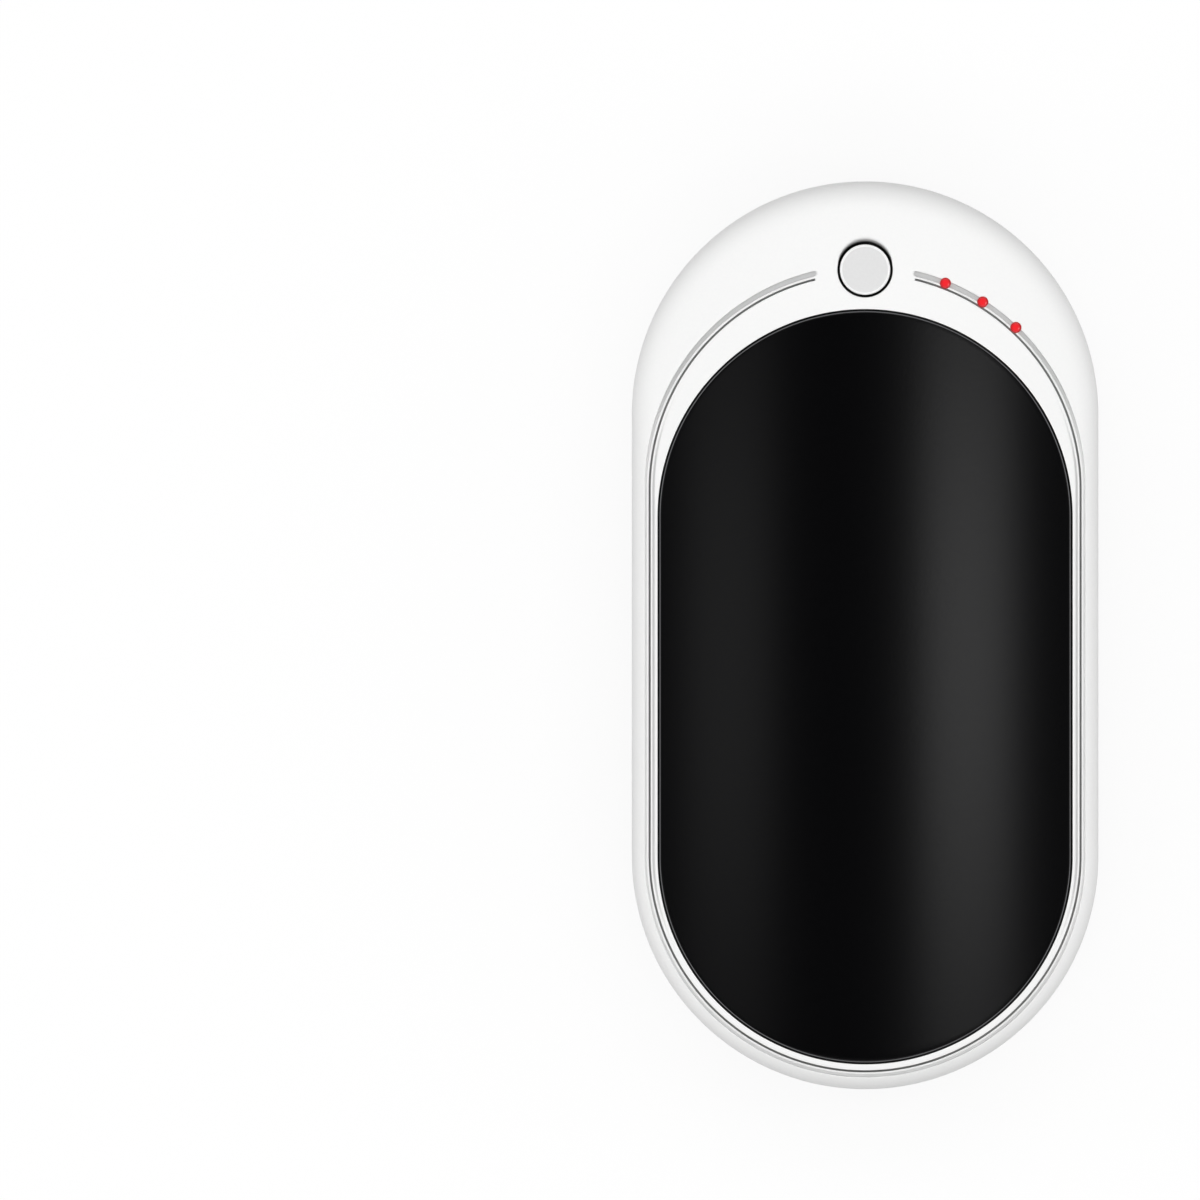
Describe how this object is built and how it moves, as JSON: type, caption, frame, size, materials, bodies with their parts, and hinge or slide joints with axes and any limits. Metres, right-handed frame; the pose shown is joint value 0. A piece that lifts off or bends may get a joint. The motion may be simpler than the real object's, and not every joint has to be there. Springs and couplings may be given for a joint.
{
  "type": "rechargeable hand warmer",
  "caption": "Pocket hand warmer: a pill-shaped white casing with a black heating plate on each face, a round push button, red level lamps in a groove and a charging socket.",
  "frame": {"origin": "centre of the casing's outline, on the plane of the rear plate's flat land that it rests on", "axes": "+Z out of the front plate, +Y along the length towards the button and socket end, X across"},
  "size_m": [0.0514, 0.1, 0.024],
  "materials": {
    "white_abs": "moulded, satin gloss white",
    "black_anodised": "black anodised, satin",
    "grey_button": "moulded, light grey",
    "red_guide": "clear red, lit from below",
    "tape": "adhesive tape",
    "polyimide": "amber film",
    "foam": "closed-cell foam",
    "cell_wrap": "shrink wrap over a steel can",
    "nickel": "plain nickel",
    "red_lead": "insulated wire",
    "black_lead": "insulated wire",
    "white_lead": "insulated wire",
    "board": "solder mask on glass laminate",
    "steel": "plain",
    "black_moulding": "moulded, black",
    "gold": "gold-plated",
    "lamp_epoxy": "clear epoxy",
    "ferrite": "sintered, grey",
    "chip_ceramic": "sintered, tan"
  },
  "bodies": {
    "casing": {"front_shell": "white_abs", "rear_shell": "white_abs", "front_plate": "black_anodised", "rear_plate": "black_anodised", "light_guide": "red_guide", "front_tape": "tape", "rear_tape": "tape", "front_heater": "polyimide", "rear_heater": "polyimide", "front_insulation": "foam", "rear_insulation": "foam", "left_cell": "cell_wrap", "right_cell": "cell_wrap", "positive_strip": "nickel", "negative_strip": "nickel", "positive_lead": "red_lead", "negative_lead": "black_lead", "front_heater_leads": "white_lead", "rear_heater_leads": "white_lead", "circuit_board": "board", "board_screws": "steel", "switch_cover": "steel", "switch_dome": "steel", "usb_shell": "steel", "switch_base": "black_moulding", "usb_tongue": "black_moulding", "power_chip": "black_moulding", "controller_chip": "black_moulding", "usb_contacts": "gold", "status_leds": "lamp_epoxy", "boost_inductor": "ferrite", "capacitors": "chip_ceramic", "thermistors": "chip_ceramic"},
    "button": {"button_cap": "grey_button", "switch_stem": "black_moulding"}
  },
  "joints": [
    {"name": "button_press", "type": "slide", "parent": "casing", "child": "button", "axis": [0, 0, -1], "range_m": [0, 0.0004], "stiffness_N_per_m": 1500, "springref_m": -0.0006, "deforming": ["switch_dome"]}
  ]
}
